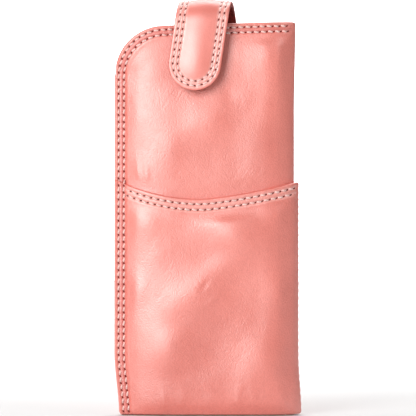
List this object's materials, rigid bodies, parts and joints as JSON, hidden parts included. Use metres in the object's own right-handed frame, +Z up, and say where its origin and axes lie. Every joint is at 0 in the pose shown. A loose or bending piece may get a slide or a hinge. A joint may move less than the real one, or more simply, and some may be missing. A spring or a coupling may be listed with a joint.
{
  "type": "soft pouch glasses case",
  "caption": "Soft leather glasses pouch, open at the top, with a slip pocket on the front and a strap that arches over the mouth to a hidden press stud.",
  "frame": {"origin": "middle of the box round the object, on the plane of the foot it stands on", "axes": "+Z up, from the closed foot to the mouth; -Y is the front, with the pocket and the strap's round end; +X is the folded side"},
  "size_m": [0.0809, 0.0239, 0.1797],
  "materials": {
    "coral_leather": "satin nappa",
    "strap_backing": "matt",
    "lining_fabric": "brushed microfibre",
    "padding_fleece": "felted",
    "reinforcement": "stiff non-woven",
    "thread": "waxed",
    "snap_metal": "nickel plated"
  },
  "bodies": {
    "case": {"anchor_thread_inner": "thread", "anchor_thread_outer": "thread", "back_edge_thread_inner": "thread", "back_edge_thread_outer": "thread", "back_padding": "padding_fleece", "back_rim_thread_inner": "thread", "back_rim_thread_outer": "thread", "foot_seam_thread": "thread", "front_edge_thread_inner": "thread", "front_edge_thread_outer": "thread", "front_padding": "padding_fleece", "lining_bag": "lining_fabric", "outer_shell": "coral_leather", "pocket_lining": "lining_fabric", "pocket_panel": "coral_leather", "pocket_rim_thread_inner": "thread", "pocket_rim_thread_outer": "thread", "pocket_side_thread": "thread", "snap_stud": "snap_metal", "snap_stud_patch": "reinforcement", "snap_stud_rivet": "snap_metal", "strap_anchor_core": "reinforcement", "strap_anchor_leather": "coral_leather", "strap_anchor_lining": "strap_backing"},
    "strap_arch": {"bridge_left_thread_inner": "thread", "bridge_left_thread_outer": "thread", "bridge_right_thread_inner": "thread", "bridge_right_thread_outer": "thread", "strap_bridge_core": "reinforcement", "strap_bridge_leather": "coral_leather", "strap_bridge_lining": "strap_backing"},
    "strap_flap": {"flap_thread_inner": "thread", "flap_thread_outer": "thread", "snap_socket": "snap_metal", "snap_socket_rivet": "snap_metal", "snap_spring": "snap_metal", "strap_flap_core": "reinforcement", "strap_flap_leather": "coral_leather", "strap_flap_lining": "strap_backing"}
  },
  "joints": [
    {"name": "strap_bend_rear", "type": "hinge", "parent": "case", "child": "strap_arch", "pos_m": [0, 0.01042, 0.17103], "axis": [-1, 0, 0], "range_deg": [0, 60]},
    {"name": "strap_flap_lift", "type": "hinge", "parent": "strap_arch", "child": "strap_flap", "pos_m": [0, -0.00782, 0.17593], "axis": [-1, 0, 0], "range_deg": [0, 120]}
  ],
  "couplings": [
    {"joint": "strap_bend_rear", "follows": "strap_flap_lift", "ratio": 0.5}
  ]
}
